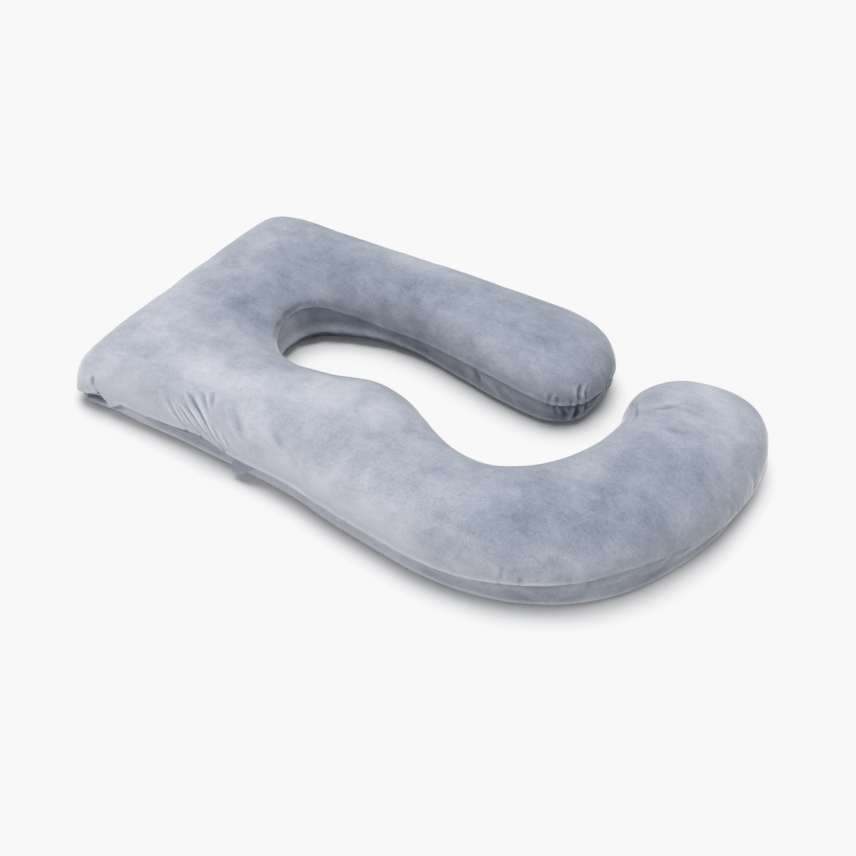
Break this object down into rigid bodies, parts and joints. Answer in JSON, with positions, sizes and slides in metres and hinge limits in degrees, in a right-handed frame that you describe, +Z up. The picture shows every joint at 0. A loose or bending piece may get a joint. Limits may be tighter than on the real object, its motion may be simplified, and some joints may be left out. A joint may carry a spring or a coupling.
{
  "type": "u-shaped pregnancy pillow",
  "caption": "Full-body support pillow of plush cloth: a broad head end, a straight short arm and a long leg that curls round into a hook.",
  "frame": {"origin": "on the floor under the middle of the pillow's bounding box", "axes": "+X from the head end to the curled foot of the long leg, +Y towards the short arm, +Z up from the floor"},
  "size_m": [1.4616, 0.835, 0.1751],
  "materials": {
    "plush": "soft grey-blue short-pile velvet with mottled nap",
    "plush_tab": "grey-blue velvet, a little darker, of the flap over the end of the zip"
  },
  "bodies": {
    "root": {"pillow": "plush", "zip_tab": "plush_tab"}
  },
  "joints": []
}
